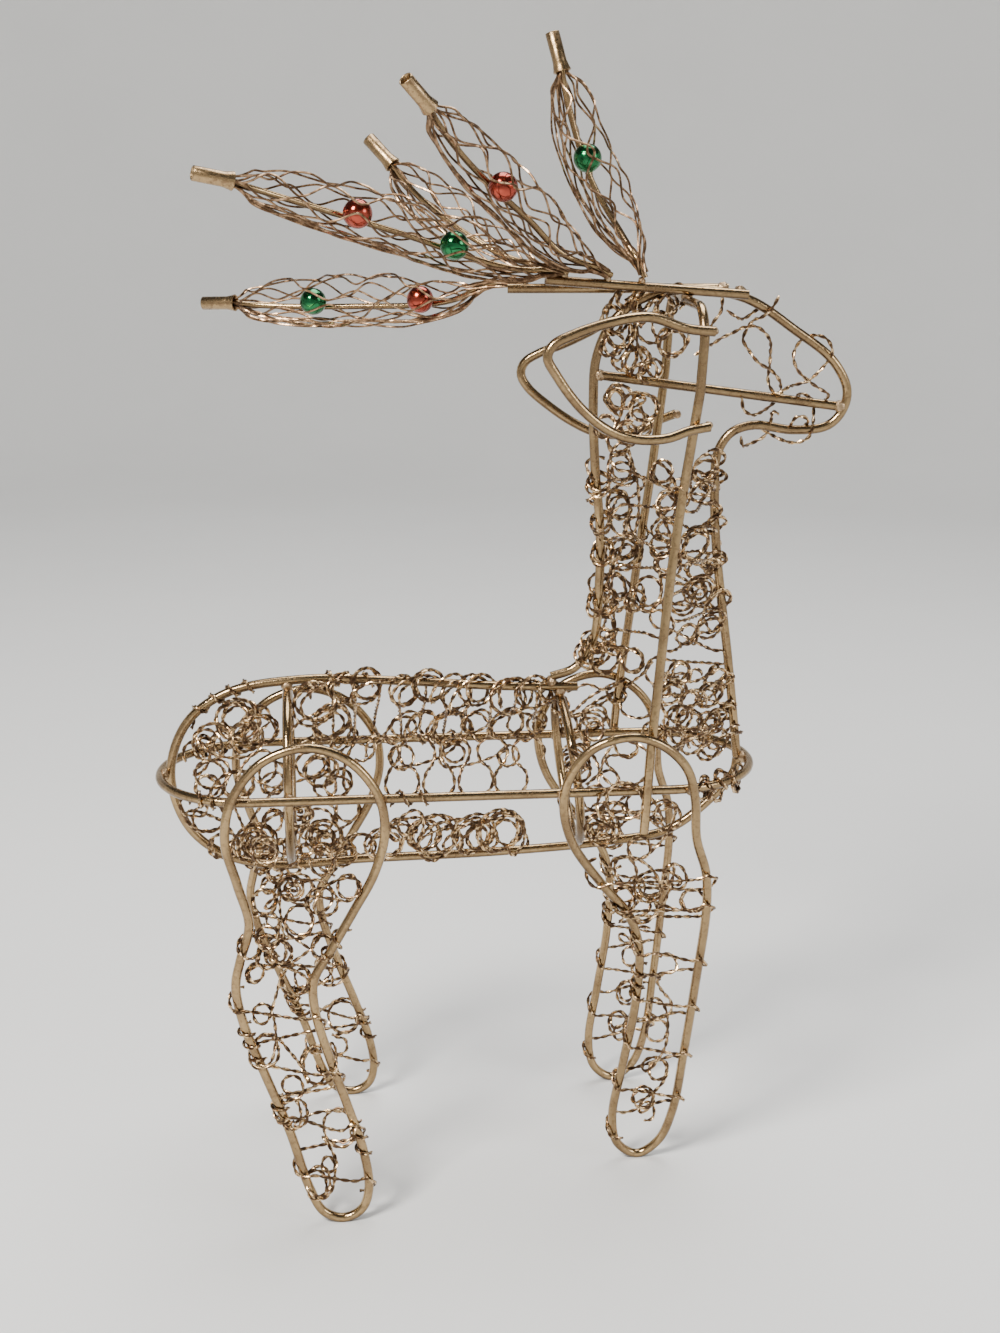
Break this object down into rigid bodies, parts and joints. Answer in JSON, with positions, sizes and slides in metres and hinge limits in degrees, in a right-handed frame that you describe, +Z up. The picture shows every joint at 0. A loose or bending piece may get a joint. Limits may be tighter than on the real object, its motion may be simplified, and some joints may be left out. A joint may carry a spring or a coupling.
{
  "type": "wire reindeer sculpture",
  "caption": "Standing reindeer of gold rods and curled twisted wire, with swept-back mesh antlers that hold coloured beads.",
  "frame": {"origin": "middle of the bounding box at the table, under the animal", "axes": "+X the way the animal faces, +Y to its left (far side in the picture), +Z up"},
  "size_m": [0.2062, 0.0994, 0.3417],
  "materials": {
    "gold_rod": "champagne gold lacquer, satin, with brown shading",
    "twisted_wire": "two strand twisted wire, dark brown and gold",
    "sleeve_wire": "fine coppery gold wire",
    "red_bead": "metallic orange red, mirror like",
    "green_bead": "metallic emerald green, mirror like"
  },
  "bodies": {
    "root": {"antler_1_core": "gold_rod", "antler_1_green_bead": "green_bead", "antler_1_red_bead": "red_bead", "antler_1_sleeve": "sleeve_wire", "antler_1_tip": "gold_rod", "antler_2_core": "gold_rod", "antler_2_green_bead": "green_bead", "antler_2_red_bead": "red_bead", "antler_2_sleeve": "sleeve_wire", "antler_2_tip": "gold_rod", "antler_3_core": "gold_rod", "antler_3_sleeve": "sleeve_wire", "antler_3_tip": "gold_rod", "antler_4_core": "gold_rod", "antler_4_red_bead": "red_bead", "antler_4_sleeve": "sleeve_wire", "antler_4_tip": "gold_rod", "antler_5_core": "gold_rod", "antler_5_green_bead": "green_bead", "antler_5_sleeve": "sleeve_wire", "antler_5_tip": "gold_rod", "crown_curls": "twisted_wire", "face_curls": "twisted_wire", "far_antler_beam": "gold_rod", "far_ear": "gold_rod", "far_front_leg": "gold_rod", "far_front_shin_curls": "twisted_wire", "far_front_thigh_curls": "twisted_wire", "far_hind_leg": "gold_rod", "far_hind_shin_curls": "twisted_wire", "far_hind_thigh_curls": "twisted_wire", "far_lower_body_curls": "twisted_wire", "far_lower_rump_curls": "twisted_wire", "far_nape_curls": "twisted_wire", "far_throat_curls": "twisted_wire", "far_upper_body_curls": "twisted_wire", "far_upper_rump_curls": "twisted_wire", "front_rib_hoop": "gold_rod", "hind_rib_hoop": "gold_rod", "jaw_curls": "twisted_wire", "muzzle_rod": "gold_rod", "near_antler_beam": "gold_rod", "near_ear": "gold_rod", "near_front_leg": "gold_rod", "near_front_shin_curls": "twisted_wire", "near_front_thigh_curls": "twisted_wire", "near_hind_leg": "gold_rod", "near_hind_shin_curls": "twisted_wire", "near_hind_thigh_curls": "twisted_wire", "near_lower_body_curls": "twisted_wire", "near_lower_rump_curls": "twisted_wire", "near_nape_curls": "twisted_wire", "near_throat_curls": "twisted_wire", "near_upper_body_curls": "twisted_wire", "near_upper_rump_curls": "twisted_wire", "neck_head_rod": "gold_rod", "neck_hoop": "gold_rod", "spine_belly_rod": "gold_rod", "waist_ring": "gold_rod"}
  },
  "joints": []
}
